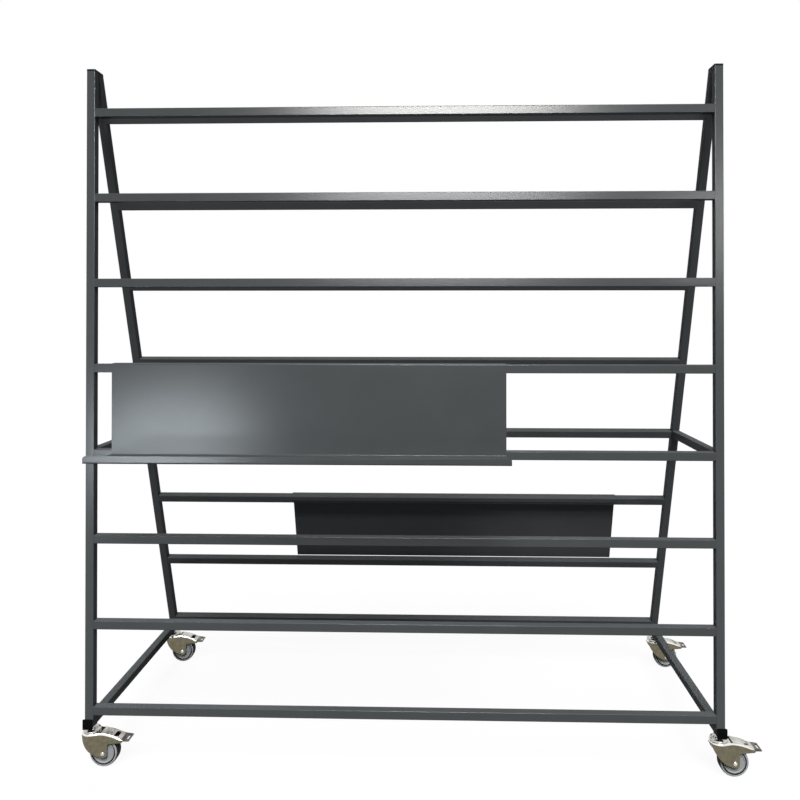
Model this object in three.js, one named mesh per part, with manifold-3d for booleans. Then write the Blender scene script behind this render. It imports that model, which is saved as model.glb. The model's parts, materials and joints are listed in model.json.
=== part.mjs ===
// Sheet goods cart: two A-shaped side frames on swivel casters, joined by cross bars in front
// and behind, with a bent sheet ledge hung over a bar on each face.
// Millimetres, +X to the right, +Y to the rear, +Z up. The origin is the middle of the floor
// area that the whole cart covers.

import * as THREE from 'three';
import { mergeVertices } from 'three/addons/utils/BufferGeometryUtils.js';
import Module from 'manifold-3d';

// Square tube frame
const tubeSize = 25;
const tubeWall = 1.5;
const barLength = 1800;
const barPitch = 250;
const barCount = 8;
const lowestBarRise = 26;
const postTopRise = 124;
const legFootInset = 17.5;
const midRailBarNumber = 4;

// Base rails, set out a little past the posts
const railSize = 25;
const railWall = 2;
const railLength = 725;
const railOutset = 3;

// Plastic end caps
const capPlate = 4;
const capPlugDepth = 10;
const capPlugWall = 2;
const railCapOverhang = 2;

// Bolts that hold the bars between the posts and legs
const boltDiameter = 8;
const boltHeadDiameter = 11;
const boltHeadCrown = 7;
const boltHeadHeight = 3.2;
const boltGrip = 14;
const nutStripThickness = 6;
const nutStripHeight = 14;

// Bent sheet ledges
const ledgeLength = 1150;
const sheetThickness = 2;
const ledgePanelHeight = 268;
const ledgeDepth = 181;
const ledgeLipHeight = 21;
const ledgeHookReturn = 17;
const ledgeShelfTiltDegrees = 3;
const frontLedgeBarNumber = 5;
const frontLedgeOffset = -272;
const rearLedgeBarNumber = 3;
const rearLedgeOffset = 155;

// Swivel casters
const casterHeight = 118;
const casterInset = 28;
const wheelHeadroom = 16.3;
const wheelWidth = 32;
const tyreDepth = 8;
const wheelTrail = 40;
const hubBossDiameter = 22;
const axleDiameter = 8;
const axleHeadDiameter = 13;
const axleHeadCrown = 9;
const axleHeadHeight = 4;
const swivelHeadHeight = 18;
const swivelHeadDiameter = 50;
const swivelRaceHeight = 7;
const swivelCrownDiameter = 28;
const swivelPinDiameter = 12;
const studDiameter = 10;
const studNutDiameter = 17;
const studNutHeight = 8;
const swivelFlangeDiameter = 20;
const swivelFlangeHeight = 3;

// Caster forks
const forkWall = 2.5;
const forkHeadDiameter = 57;
const forkHeadSkirt = 8;
const forkNeckInset = 3;
const forkBossRadius = 13;
const forkBossStartDegrees = 250;
const forkBackSweep = 45;
const forkSideGap = 2.5;
const wingDepth = 30;
const wingReach = 99;
const wingTipDrop = 20;
const wingTipHeight = 5;
const wingCrown = 60;
const wingTaperClear = 3;
const kneeRadius = 6;

// Brake pedals
const pedalReach = 117;
const pedalPivotAhead = 43;
const pedalPivotDrop = 10;
const pedalPinDiameter = 5;
const pedalPlate = 2.5;
const pedalPinEdge = 1.5;
const pedalHeelDepth = 12;
const pedalHeelAhead = 34;
const pedalBend = 12;
const pedalBendDrop = 5.5;
const pedalRise = 1.9;
const pedalTipDrop = 19;
const pedalTipHeight = 4;
const pedalPadWidth = 38;
const pedalPadClear = 1.5;

// Clearances
const seatGap = 0.3;
const runningGap = 0.4;
const ledgeFit = 0.4;
const legJointGap = 0.5;
const cutOverrun = 1;

// Facets of round pieces
const boltSides = 8;
const wheelSides = 24;
const turnedSides = 12;
const arcSteps = 5;
const mergeTolerance = 1e-4;

// Levels and places worked out from the sizes above
const railTop = casterHeight + railSize;
const postTop = barHeight(barCount) + postTopRise;
const innerFace = barLength / 2;
const outerFace = innerFace + tubeSize;
const postCentre = innerFace + tubeSize / 2;
const railCentre = outerFace + railOutset - railSize / 2;
const legRise = postTop + capPlate - railTop;
const legRun = railLength - legFootInset - tubeSize - legJointGap;
const legSlope = Math.acos(tubeSize / Math.hypot(legRise, legRun)) - Math.atan2(legRise, legRun);
const legSlopeDegrees = THREE.MathUtils.radToDeg(legSlope);
const legFootFront = tubeSize + legJointGap + legRise * Math.tan(legSlope);
const forkTop = casterHeight - swivelHeadHeight - runningGap;
const axleHeight = (forkTop - wheelHeadroom) / 2;
const wheelRadius = axleHeight / Math.cos(Math.PI / wheelSides);
const wingTaperEnd = wheelTrail - axleHeadDiameter / 2 - wingTaperClear;
const forkInside = wheelWidth / 2 + forkSideGap;
const forkOutside = forkInside + forkWall;
const pedalPivotHeight = forkTop - pedalPivotDrop;
const pedalPadStart = wingReach + pedalPadClear - pedalPivotAhead;

const wasm = await Module();
wasm.setup();

// Height of a bar's axis above the floor, with bar 1 the lowest.
function barHeight(number) {
  return railTop + lowestBarRise + (number - 1) * barPitch;
}

// Place of a rear bar's axis along the leg, in the leg's own frame.
function barAlongLeg(number) {
  const rise = barHeight(number) - railTop - (tubeSize / 2) * Math.sin(legSlope);
  return rise / Math.cos(legSlope);
}

// Turns a closed geometry into a solid, with shared corners merged and pole slivers dropped.
function solid(geometry) {
  const bare = geometry.clone();
  bare.deleteAttribute('normal');
  bare.deleteAttribute('uv');
  const merged = mergeVertices(bare, mergeTolerance);
  const corners = merged.index.array;
  const kept = [];
  for (let i = 0; i < corners.length; i += 3) {
    const [a, b, c] = [corners[i], corners[i + 1], corners[i + 2]];
    if (a !== b && b !== c && c !== a) kept.push(a, b, c);
  }
  return new wasm.Manifold(new wasm.Mesh({
    numProp: 3,
    vertProperties: new Float32Array(merged.attributes.position.array),
    triVerts: new Uint32Array(kept),
  }));
}

// Turns a solid back into a geometry.
function geometryOf(body) {
  const { vertProperties, triVerts } = body.getMesh();
  const geometry = new THREE.BufferGeometry();
  geometry.setAttribute('position', new THREE.BufferAttribute(new Float32Array(vertProperties), 3));
  geometry.setIndex(new THREE.BufferAttribute(new Uint32Array(triVerts), 1));
  geometry.computeVertexNormals();
  return geometry;
}

// Box from its lowest to its highest corner.
function block(low, high) {
  const size = high.map((value, i) => value - low[i]);
  const middle = high.map((value, i) => (value + low[i]) / 2);
  return solid(new THREE.BoxGeometry(...size).translate(...middle));
}

// Round body about an axis; each profile point is [radius, distance along the axis].
function turned(profile, sides, axis) {
  const points = profile.map(([radius, along]) => new THREE.Vector2(radius, along));
  const geometry = new THREE.LatheGeometry(points, sides);
  geometry.rotateY(Math.PI / sides);
  if (axis === 'x') geometry.rotateZ(-Math.PI / 2);
  if (axis === 'z') geometry.rotateX(Math.PI / 2);
  return solid(geometry);
}

// Rod about an axis from one distance to another.
function rod(radius, from, to, sides, axis) {
  return turned([[0, from], [radius, from], [radius, to], [0, to]], sides, axis);
}

// Plate whose outline lies in the XZ plane, centred on Y.
function uprightPlate(outline, width) {
  const geometry = new THREE.ExtrudeGeometry(outline, {
    depth: width, bevelEnabled: false, curveSegments: arcSteps,
  });
  geometry.translate(0, 0, -width / 2);
  geometry.rotateX(Math.PI / 2);
  return solid(geometry);
}

// Plate whose outline lies in the XY plane, between two heights.
function flatPlate(outline, low, high) {
  const geometry = new THREE.ExtrudeGeometry(outline, {
    depth: high - low, bevelEnabled: false, curveSegments: arcSteps,
  });
  geometry.translate(0, 0, low);
  return solid(geometry);
}

// Square tube along Z with its corner at the origin, as long as needed.
function uprightTube(size, wall, low, high) {
  const outer = block([-size / 2, 0, low], [size / 2, size, high]);
  const inside = size / 2 - wall;
  const boreLow = [-inside, wall, low - cutOverrun];
  return outer.subtract(block(boreLow, [inside, size - wall, high + cutOverrun]));
}

// Hole for a bolt, right through a tube along X.
function boltHole(y, z) {
  const hole = rod(boltDiameter / 2 + seatGap, -tubeSize, tubeSize, boltSides, 'x');
  return hole.translate([0, y, z]);
}

// Front post: stands on its base rail, drilled for every front bar.
function postSolid() {
  let post = uprightTube(tubeSize, tubeWall, railTop, postTop);
  for (let number = 1; number <= barCount; number += 1) {
    post = post.subtract(boltHole(tubeSize / 2, barHeight(number)));
  }
  return post;
}

// Rear leg in its own frame, Z along the leg: drilled for the rear bars, ends cut level.
function legSolid() {
  const spare = 2 * tubeSize;
  const reach = (postTop - railTop) / Math.cos(legSlope);
  let leg = uprightTube(tubeSize, tubeWall, -spare, reach + spare);
  for (let number = 1; number <= barCount; number += 1) {
    leg = leg.subtract(boltHole(tubeSize / 2, barAlongLeg(number)));
  }
  return leg.intersect(levelSlab(seatGap, postTop - railTop));
}

// Slab between two heights above the rail, seen from the leg's own frame.
function levelSlab(low, high) {
  const wide = 2 * (postTop - railTop);
  const slab = block([-tubeSize, -wide, low], [tubeSize, wide, high]);
  return slab.rotate([-legSlopeDegrees, 0, 0]);
}

// Cross bar along X with a nut strip and a button-head bolt at each end.
function barSolid() {
  const half = tubeSize / 2;
  const inside = half - tubeWall;
  const outer = block([-innerFace, -half, -half], [innerFace, half, half]);
  const boreEnd = innerFace + cutOverrun;
  let bar = outer.subtract(block([-boreEnd, -inside, -inside], [boreEnd, inside, inside]));
  for (const side of [-1, 1]) {
    bar = bar.add(nutStrip(side)).add(boltSolid(side));
  }
  return bar;
}

// Strip inside a bar's end that the bolt threads into, open above and below.
function nutStrip(side) {
  const half = tubeSize / 2 - tubeWall / 2;
  const middle = side * (innerFace - boltGrip + nutStripThickness / 2);
  const low = [middle - nutStripThickness / 2, -half, -nutStripHeight / 2];
  const high = [middle + nutStripThickness / 2, half, nutStripHeight / 2];
  return block(low, high);
}

// Button-head bolt at one end of a bar: side is -1 for the left end.
function boltSolid(side) {
  const shank = boltDiameter / 2;
  const head = boltHeadDiameter / 2;
  const profile = [
    [0, innerFace - boltGrip], [shank, innerFace - boltGrip], [shank, outerFace], [head, outerFace],
    [boltHeadCrown / 2, outerFace + boltHeadHeight], [0, outerFace + boltHeadHeight],
  ];
  const bolt = turned(profile, boltSides, 'x');
  return side > 0 ? bolt : bolt.rotate([0, 0, 180]);
}

// Mid rail along Y from the post to the leg, its rear end cut to the leg's slope.
function midRailSolid() {
  const level = barHeight(midRailBarNumber);
  const half = tubeSize / 2;
  const inside = half - tubeWall;
  const far = legFootFront;
  const outer = block([-half, tubeSize, level - half], [half, far, level + half]);
  const boreHigh = [inside, far + cutOverrun, level + inside];
  const tube = outer.subtract(block([-inside, 0, level - inside], boreHigh));
  return tube.subtract(legFrontSpace());
}

// All the space behind the leg's front face, with the clearance that a cut end keeps.
function legFrontSpace() {
  const reach = 2 * (postTop - railTop);
  const space = block([-railSize, -seatGap, -reach], [railSize, reach, reach]);
  return space.rotate([legSlopeDegrees, 0, 0]).translate([0, legFootFront, railTop]);
}

// Base rail along Y, open at both ends, with a stud hole over each caster.
function baseRailSolid() {
  const half = railSize / 2;
  const inside = half - railWall;
  const outer = block([-half, 0, casterHeight], [half, railLength, railTop]);
  const boreLow = [-inside, -cutOverrun, casterHeight + railWall];
  const bore = block(boreLow, [inside, railLength + cutOverrun, railTop - railWall]);
  let rail = outer.subtract(bore);
  for (const y of [casterInset, railLength - casterInset]) {
    const hole = rod(studDiameter / 2 + seatGap, -cutOverrun, 2 * railWall, turnedSides, 'z');
    rail = rail.subtract(hole.translate([0, y, casterHeight]));
  }
  return rail;
}

// Square end cap: a plate over the tube's end and a hollow plug inside it, along +Z.
function capSolid(size, wall, overhang) {
  const half = size / 2 + overhang;
  const plug = size / 2 - wall - seatGap;
  const hollow = plug - capPlugWall;
  const plate = block([-half, -half, 0], [half, half, capPlate]);
  const outer = block([-plug, -plug, -capPlugDepth], [plug, plug, capPlate / 2]);
  const hollowLow = [-hollow, -hollow, -capPlugDepth - cutOverrun];
  return plate.add(outer).subtract(block(hollowLow, [hollow, hollow, 0]));
}

// Leg cap in the leg's own frame: a level plate over the cut end, its plug along the leg.
function legCapSolid() {
  const top = postTop - railTop;
  const half = tubeSize / 2;
  const plug = half - tubeWall - seatGap;
  const hollow = plug - capPlugWall;
  const reach = top / Math.cos(legSlope) + tubeSize;
  const over = block([-half, 0, 0], [half, tubeSize, reach]);
  const plate = over.intersect(levelSlab(top + seatGap, top + capPlate));
  const core = block([-plug, half - plug, 0], [plug, half + plug, reach]);
  const bore = block([-hollow, half - hollow, 0], [hollow, half + hollow, reach]);
  const stem = core.intersect(levelSlab(top - capPlugDepth, top + capPlate / 2));
  return plate.add(stem).subtract(bore.intersect(levelSlab(top - 2 * capPlugDepth, top)));
}

// Ledge section in the bar's frame: y 0 at the bar's outer face, outward is -y, z 0 at its axis.
function ledgeOutline() {
  const hookUnder = tubeSize / 2 + ledgeFit;
  const hookTop = hookUnder + sheetThickness;
  const panelBack = -ledgeFit;
  const panelFace = panelBack - sheetThickness;
  const returnFace = tubeSize + ledgeFit;
  const tilt = THREE.MathUtils.degToRad(ledgeShelfTiltDegrees);
  const shelfUnder = (y) => hookTop - ledgePanelHeight + (panelBack - y) * Math.tan(tilt);
  const shelfOver = (y) => shelfUnder(y) + sheetThickness / Math.cos(tilt);
  const lipBack = sheetThickness - ledgeDepth;
  const lipTop = shelfUnder(-ledgeDepth) + ledgeLipHeight;
  return new THREE.Shape([
    new THREE.Vector2(returnFace, hookTop - ledgeHookReturn),
    new THREE.Vector2(returnFace + sheetThickness, hookTop - ledgeHookReturn),
    new THREE.Vector2(returnFace + sheetThickness, hookTop),
    new THREE.Vector2(panelFace, hookTop),
    new THREE.Vector2(panelFace, shelfOver(panelFace)),
    new THREE.Vector2(lipBack, shelfOver(lipBack)),
    new THREE.Vector2(lipBack, lipTop),
    new THREE.Vector2(-ledgeDepth, lipTop),
    new THREE.Vector2(-ledgeDepth, shelfUnder(-ledgeDepth)),
    new THREE.Vector2(panelBack, shelfUnder(panelBack)),
    new THREE.Vector2(panelBack, hookUnder),
    new THREE.Vector2(returnFace, hookUnder),
  ]);
}

// Bent sheet ledge along X, centred on its own middle.
function ledgeSolid() {
  const geometry = new THREE.ExtrudeGeometry(ledgeOutline(), { depth: ledgeLength, bevelEnabled: false });
  geometry.translate(0, 0, -ledgeLength / 2);
  const across = new THREE.Matrix4().makeBasis(
    new THREE.Vector3(0, 1, 0), new THREE.Vector3(0, 0, 1), new THREE.Vector3(1, 0, 0),
  );
  return solid(geometry.applyMatrix4(across));
}

// Swivel head bolted under the rail: nut, stud, domed race, pin and the flange that traps the fork.
function swivelHeadSolid() {
  const radius = swivelHeadDiameter / 2;
  const under = casterHeight - swivelHeadHeight;
  const flangeTop = forkTop - forkWall - runningGap;
  const nutBottom = casterHeight + railWall;
  return turned([
    [0, flangeTop - swivelFlangeHeight], [swivelFlangeDiameter / 2, flangeTop - swivelFlangeHeight],
    [swivelFlangeDiameter / 2, flangeTop], [swivelPinDiameter / 2, flangeTop],
    [swivelPinDiameter / 2, under], [radius, under], [radius, under + swivelRaceHeight],
    [swivelCrownDiameter / 2, casterHeight], [studDiameter / 2, casterHeight],
    [studDiameter / 2, nutBottom], [studNutDiameter / 2, nutBottom],
    [studNutDiameter / 2, nutBottom + studNutHeight], [0, nutBottom + studNutHeight],
  ], turnedSides, 'z');
}

// Side view of the fork: head at the left, legs down to the axle, wing to the right.
function forkSideOutline() {
  const back = -forkHeadDiameter / 2;
  const skirt = forkTop - forkHeadSkirt;
  const bossStart = THREE.MathUtils.degToRad(forkBossStartDegrees);
  const meetAhead = wheelTrail + forkBossRadius * Math.cos(bossStart);
  const meetHeight = axleHeight + forkBossRadius * Math.sin(bossStart);
  const sweepAhead = meetAhead + forkBackSweep * Math.sin(bossStart);
  const sweepHeight = meetHeight - forkBackSweep * Math.cos(bossStart);
  const knee = wheelTrail + forkBossRadius;
  const wingUnder = forkTop - wingDepth;
  const tipTop = forkTop - wingTipDrop;
  const outline = new THREE.Shape();
  outline.moveTo(back, forkTop);
  outline.lineTo(back, skirt);
  outline.lineTo(back + forkNeckInset, skirt);
  outline.quadraticCurveTo(sweepAhead, sweepHeight, meetAhead, meetHeight);
  outline.absarc(wheelTrail, axleHeight, forkBossRadius, bossStart, 2 * Math.PI, false);
  outline.lineTo(knee, wingUnder - kneeRadius);
  outline.quadraticCurveTo(knee, wingUnder, knee + kneeRadius, wingUnder);
  outline.lineTo(wingReach - wingTipHeight, tipTop - wingTipHeight);
  outline.quadraticCurveTo(wingReach, tipTop - wingTipHeight, wingReach, tipTop);
  outline.quadraticCurveTo(wingCrown, forkTop, wingTaperEnd, forkTop);
  return outline;
}

// Plan of the fork: a round head that tapers to two straight sides.
function forkPlanOutline(headRadius, halfWidth, reach) {
  const run = Math.hypot(wingTaperEnd, halfWidth);
  const lean = Math.atan2(halfWidth, wingTaperEnd) + Math.acos(headRadius / run);
  const outline = new THREE.Shape();
  outline.moveTo(reach, -halfWidth);
  outline.lineTo(reach, halfWidth);
  outline.lineTo(wingTaperEnd, halfWidth);
  outline.absarc(0, 0, headRadius, lean, 2 * Math.PI - lean, false);
  outline.lineTo(wingTaperEnd, -halfWidth);
  return outline;
}

// Fork: a pressed shell, closed over the head, open below for the wheel and behind for the pedal.
function forkSolid() {
  const headRadius = forkHeadDiameter / 2;
  const side = uprightPlate(forkSideOutline(), forkHeadDiameter + 2 * forkWall);
  const outerPlan = forkPlanOutline(headRadius, forkOutside, pedalReach);
  const innerPlan = forkPlanOutline(headRadius - forkWall, forkInside, pedalReach);
  const shell = side.intersect(flatPlate(outerPlan, 0, casterHeight));
  const room = flatPlate(innerPlan, -cutOverrun, forkTop - forkWall);
  const slotLow = [headRadius + runningGap, -forkInside, 0];
  const slot = block(slotLow, [pedalReach, forkInside, casterHeight]);
  const pin = rod(swivelPinDiameter / 2 + runningGap, 0, casterHeight, turnedSides, 'z');
  const axle = rod(axleDiameter / 2 + seatGap, -forkHeadDiameter, forkHeadDiameter, turnedSides, 'y');
  const pivot = rod(pedalPinDiameter / 2 + seatGap, -forkHeadDiameter, forkHeadDiameter, boltSides, 'y');
  return shell.subtract(room).subtract(slot).subtract(pin)
    .subtract(axle.translate([wheelTrail, 0, axleHeight]))
    .subtract(pivot.translate([pedalPivotAhead, 0, pedalPivotHeight]));
}

// Wheel hub about Y: a disc with bosses that reach to the fork plates.
function hubSolid() {
  const rim = wheelRadius - tyreDepth - seatGap;
  const half = wheelWidth / 2;
  const bossFace = forkInside - seatGap;
  const boss = hubBossDiameter / 2;
  const bore = axleDiameter / 2 + seatGap;
  return turned([
    [bore, -bossFace], [boss, -bossFace], [boss, -half], [rim, -half],
    [rim, half], [boss, half], [boss, bossFace], [bore, bossFace], [bore, -bossFace],
  ], wheelSides, 'y');
}

// Tyre about Y, with rounded shoulders and a flat tread.
function tyreSolid() {
  const inside = wheelRadius - tyreDepth;
  const half = wheelWidth / 2;
  const shoulder = tyreDepth / 2;
  return turned([
    [inside, -half], [wheelRadius - shoulder, -half], [wheelRadius, shoulder - half],
    [wheelRadius, half - shoulder], [wheelRadius - shoulder, half], [inside, half], [inside, -half],
  ], wheelSides, 'y');
}

// Axle bolt about Y, with a head outside one fork plate and a nut outside the other.
function axleSolid() {
  const seat = forkOutside + seatGap;
  const head = axleHeadDiameter / 2;
  const shank = axleDiameter / 2;
  return turned([
    [0, -seat - axleHeadHeight], [axleHeadCrown / 2, -seat - axleHeadHeight], [head, -seat],
    [shank, -seat], [shank, seat], [head, seat],
    [head, seat + axleHeadHeight], [0, seat + axleHeadHeight],
  ], turnedSides, 'y');
}

// Side view of the pressed brake pedal, about its pivot.
function pedalOutline() {
  const heel = pedalHeelAhead - pedalPivotAhead;
  const tip = pedalReach - pedalPivotAhead;
  const top = pedalPivotDrop + pedalRise;
  const tipTop = pedalPivotDrop - pedalTipDrop;
  const pinUnder = -pedalPinDiameter / 2 - pedalPinEdge;
  return new THREE.Shape([
    new THREE.Vector2(heel, top - pedalHeelDepth),
    new THREE.Vector2(0, pinUnder),
    new THREE.Vector2(pedalBend, pinUnder),
    new THREE.Vector2(pedalPadStart, tipTop - pedalTipHeight),
    new THREE.Vector2(tip, tipTop - pedalTipHeight),
    new THREE.Vector2(tip, tipTop),
    new THREE.Vector2(pedalPadStart, tipTop + pedalTipHeight / 2),
    new THREE.Vector2(pedalBend, top - pedalBendDrop),
    new THREE.Vector2(heel, top),
  ]);
}

// Brake pedal about its pivot: a channel between the fork's wings, a wider pad and its pin.
function pedalSolid() {
  const half = forkInside - runningGap;
  const heel = pedalHeelAhead - pedalPivotAhead + pedalPlate;
  const lever = uprightPlate(pedalOutline(), 2 * half);
  const bay = block([heel, -half, -pedalReach], [pedalPadStart, half, pedalReach]);
  const under = uprightPlate(pedalOutline(), 2 * (half - pedalPlate)).translate([0, 0, -pedalPlate]);
  const padLow = [pedalPadStart, -pedalPadWidth, -pedalReach];
  const beyond = block(padLow, [pedalReach, pedalPadWidth, pedalReach]);
  const pad = uprightPlate(pedalOutline(), pedalPadWidth).intersect(beyond);
  const pin = rod(pedalPinDiameter / 2, -forkOutside, forkOutside, boltSides, 'y');
  return lever.subtract(under.intersect(bay)).add(pad).add(pin);
}

const powderCoat = () => new THREE.MeshStandardMaterial({ color: 0x4b5055, roughness: 0.45, metalness: 0.2 });
const blackPlastic = () => new THREE.MeshStandardMaterial({ color: 0x0c0d0d, roughness: 0.5, metalness: 0 });
const brightSteel = () => new THREE.MeshStandardMaterial({ color: 0xc9c8c0, roughness: 0.2, metalness: 1 });
const hubNylon = () => new THREE.MeshStandardMaterial({ color: 0xa3a8ab, roughness: 0.5, metalness: 0 });
const tyreRubber = () => new THREE.MeshStandardMaterial({ color: 0x9aa0a4, roughness: 0.75, metalness: 0 });

// Named mesh at a place.
function piece(name, body, material, place = [0, 0, 0]) {
  const mesh = new THREE.Mesh(geometryOf(body), material);
  mesh.name = name;
  mesh.position.set(...place);
  return mesh;
}

// One caster at a place on the floor.
function caster(name, x, y) {
  const group = new THREE.Group();
  group.position.set(x, y, 0);
  const axle = [wheelTrail, 0, axleHeight];
  const pivot = [pedalPivotAhead, 0, pedalPivotHeight];
  group.add(
    piece(`${name}_swivel_head`, swivelHeadSolid(), brightSteel()),
    piece(`${name}_fork`, forkSolid(), brightSteel()),
    piece(`${name}_wheel_hub`, hubSolid(), hubNylon(), axle),
    piece(`${name}_tyre`, tyreSolid(), tyreRubber(), axle),
    piece(`${name}_axle_bolt`, axleSolid(), brightSteel(), axle),
    piece(`${name}_brake_pedal`, pedalSolid(), brightSteel(), pivot),
  );
  return group;
}

// Side frame: post, leg, base rail, mid rail and their caps; side is -1 on the left.
function sideFrame(name, side) {
  const frame = new THREE.Group();
  const x = side * postCentre;
  const railX = side * railCentre;
  const leg = new THREE.Group();
  leg.position.set(x, legFootFront, railTop);
  leg.rotation.x = legSlope;
  leg.add(
    piece(`${name}_leg`, legSolid(), powderCoat()),
    piece(`${name}_leg_cap`, legCapSolid(), blackPlastic()),
  );
  const railCap = () => capSolid(railSize, railWall, railCapOverhang);
  const postCap = capSolid(tubeSize, tubeWall, 0);
  const frontCap = piece(`${name}_rail_front_cap`, railCap(), blackPlastic());
  frontCap.position.set(railX, 0, casterHeight + railSize / 2);
  frontCap.rotation.x = Math.PI / 2;
  const rearCap = piece(`${name}_rail_rear_cap`, railCap(), blackPlastic());
  rearCap.position.set(railX, railLength, casterHeight + railSize / 2);
  rearCap.rotation.x = -Math.PI / 2;
  frame.add(
    piece(`${name}_post`, postSolid(), powderCoat(), [x, 0, 0]),
    piece(`${name}_post_cap`, postCap, blackPlastic(), [x, tubeSize / 2, postTop]),
    piece(`${name}_base_rail`, baseRailSolid(), powderCoat(), [railX, 0, 0]),
    piece(`${name}_mid_rail`, midRailSolid(), powderCoat(), [x, 0, 0]),
    leg, frontCap, rearCap,
    caster(`front_${name}`, railX, casterInset),
    caster(`rear_${name}`, railX, railLength - casterInset),
  );
  return frame;
}

// Front bars between the posts, and the ledge that hangs on one of them.
function frontFace() {
  const face = new THREE.Group();
  for (let number = 1; number <= barCount; number += 1) {
    const place = [0, tubeSize / 2, barHeight(number)];
    face.add(piece(`front_bar_${number}`, barSolid(), powderCoat(), place));
  }
  const ledgePlace = [frontLedgeOffset, 0, barHeight(frontLedgeBarNumber)];
  face.add(piece('front_ledge', ledgeSolid(), powderCoat(), ledgePlace));
  return face;
}

// Rear bars between the legs, in the legs' own frame, and the ledge that hangs on one of them.
function rearFace() {
  const face = new THREE.Group();
  face.position.set(0, legFootFront, railTop);
  face.rotation.x = legSlope;
  for (let number = 1; number <= barCount; number += 1) {
    const place = [0, tubeSize / 2, barAlongLeg(number)];
    face.add(piece(`rear_bar_${number}`, barSolid(), powderCoat(), place));
  }
  const ledge = piece('rear_ledge', ledgeSolid(), powderCoat());
  ledge.position.set(rearLedgeOffset, tubeSize, barAlongLeg(rearLedgeBarNumber));
  ledge.rotation.z = Math.PI;
  face.add(ledge);
  return face;
}

const cart = new THREE.Group();
cart.add(sideFrame('left', -1), sideFrame('right', 1), frontFace(), rearFace());
cart.updateMatrixWorld(true);
const reach = new THREE.Box3().setFromObject(cart, true);
const middle = reach.getCenter(new THREE.Vector3());
cart.position.set(-middle.x, -middle.y, -reach.min.z);

export default cart;
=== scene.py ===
"""Looks of the sheet goods cart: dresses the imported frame, piece by piece, and sets the stage."""

import json
import math

import bmesh
import bpy
from mathutils import Matrix, Vector

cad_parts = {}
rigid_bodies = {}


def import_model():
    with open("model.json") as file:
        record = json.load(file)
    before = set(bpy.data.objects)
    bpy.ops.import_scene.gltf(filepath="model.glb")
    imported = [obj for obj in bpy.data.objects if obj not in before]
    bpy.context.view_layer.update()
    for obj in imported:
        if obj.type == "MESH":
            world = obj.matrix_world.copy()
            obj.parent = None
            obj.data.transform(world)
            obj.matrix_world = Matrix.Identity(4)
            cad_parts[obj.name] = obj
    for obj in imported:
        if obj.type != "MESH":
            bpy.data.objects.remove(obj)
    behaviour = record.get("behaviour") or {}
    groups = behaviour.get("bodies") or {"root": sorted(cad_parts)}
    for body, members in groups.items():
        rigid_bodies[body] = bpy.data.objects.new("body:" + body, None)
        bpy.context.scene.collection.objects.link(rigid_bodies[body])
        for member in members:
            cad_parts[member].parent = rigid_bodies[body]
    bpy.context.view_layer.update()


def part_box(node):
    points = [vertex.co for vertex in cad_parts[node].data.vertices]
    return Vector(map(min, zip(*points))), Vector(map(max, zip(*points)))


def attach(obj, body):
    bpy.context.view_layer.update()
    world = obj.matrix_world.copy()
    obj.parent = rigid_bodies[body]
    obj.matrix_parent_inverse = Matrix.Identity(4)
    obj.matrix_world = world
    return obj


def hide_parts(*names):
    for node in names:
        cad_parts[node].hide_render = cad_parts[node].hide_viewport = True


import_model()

bl_info = {
    "name": "Sheet goods cart",
    "version": (1, 0, 0),
    "blender": (4, 5, 0),
    "location": "3D View > Sidebar > Cart",
    "description": "Models the looks of a sheet goods cart around its packed frame",
    "category": "Object",
}

SIDES = ("left", "right")
CASTERS = ("front_left", "front_right", "rear_left", "rear_right")
BAR_NUMBERS = range(1, 9)
FRONT_LEDGE_BAR = "front_bar_5"
REAR_LEDGE_BAR = "rear_bar_3"
MM = 0.001
SAME_PLACE = 1e-6
SHARP_ANGLE = math.radians(32)
ROUND_STEPS = 6
SPIN_STEPS = 48


class CartSizes(bpy.types.PropertyGroup):
    """Sizes that the frame's boxes don't give."""

    leg_slope: bpy.props.FloatProperty(
        name="Leg slope", description="Lean of the rear legs from upright",
        default=math.radians(18.99892), subtype="ANGLE")
    tube_wall: bpy.props.FloatProperty(
        name="Tube wall", description="Wall of the square tube",
        default=1.5 * MM, unit="LENGTH")
    tube_corner: bpy.props.FloatProperty(
        name="Tube corner", description="Outside corner radius of the square tube",
        default=1.8 * MM, unit="LENGTH")
    cap_plate: bpy.props.FloatProperty(
        name="Cap plate", description="Thickness of a cap outside its tube",
        default=4 * MM, unit="LENGTH")
    cap_edge: bpy.props.FloatProperty(
        name="Cap edge", description="Rounding of a cap's outer edge",
        default=0.8 * MM, unit="LENGTH")
    cap_skirt: bpy.props.FloatProperty(
        name="Cap skirt", description="How far a top cap reaches down over its tube",
        default=1.8 * MM, unit="LENGTH")
    cap_lap: bpy.props.FloatProperty(
        name="Cap lap", description="How far a top cap stands out past its tube",
        default=0.2 * MM, unit="LENGTH")
    bolt_head: bpy.props.FloatProperty(
        name="Bolt head", description="Diameter of a bar bolt's button head",
        default=11 * MM, unit="LENGTH")
    sheet: bpy.props.FloatProperty(
        name="Sheet", description="Thickness of the ledges' sheet",
        default=2 * MM, unit="LENGTH")
    bend: bpy.props.FloatProperty(
        name="Bend", description="Bend radius at the middle of the sheet",
        default=3.2 * MM, unit="LENGTH")
    lip_corner: bpy.props.FloatProperty(
        name="Lip corner", description="Rounding of the lip's end corners",
        default=9 * MM, unit="LENGTH")
    fork_wall: bpy.props.FloatProperty(
        name="Fork wall", description="Thickness of the fork's pressing",
        default=2.5 * MM, unit="LENGTH")
    fork_edge: bpy.props.FloatProperty(
        name="Fork edge", description="Width of the fork's rolled edge, seen from above",
        default=4 * MM, unit="LENGTH")
    fork_drop: bpy.props.FloatProperty(
        name="Fork edge drop", description="Height of the fork's rolled edge, seen from the side",
        default=7.5 * MM, unit="LENGTH")


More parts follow.
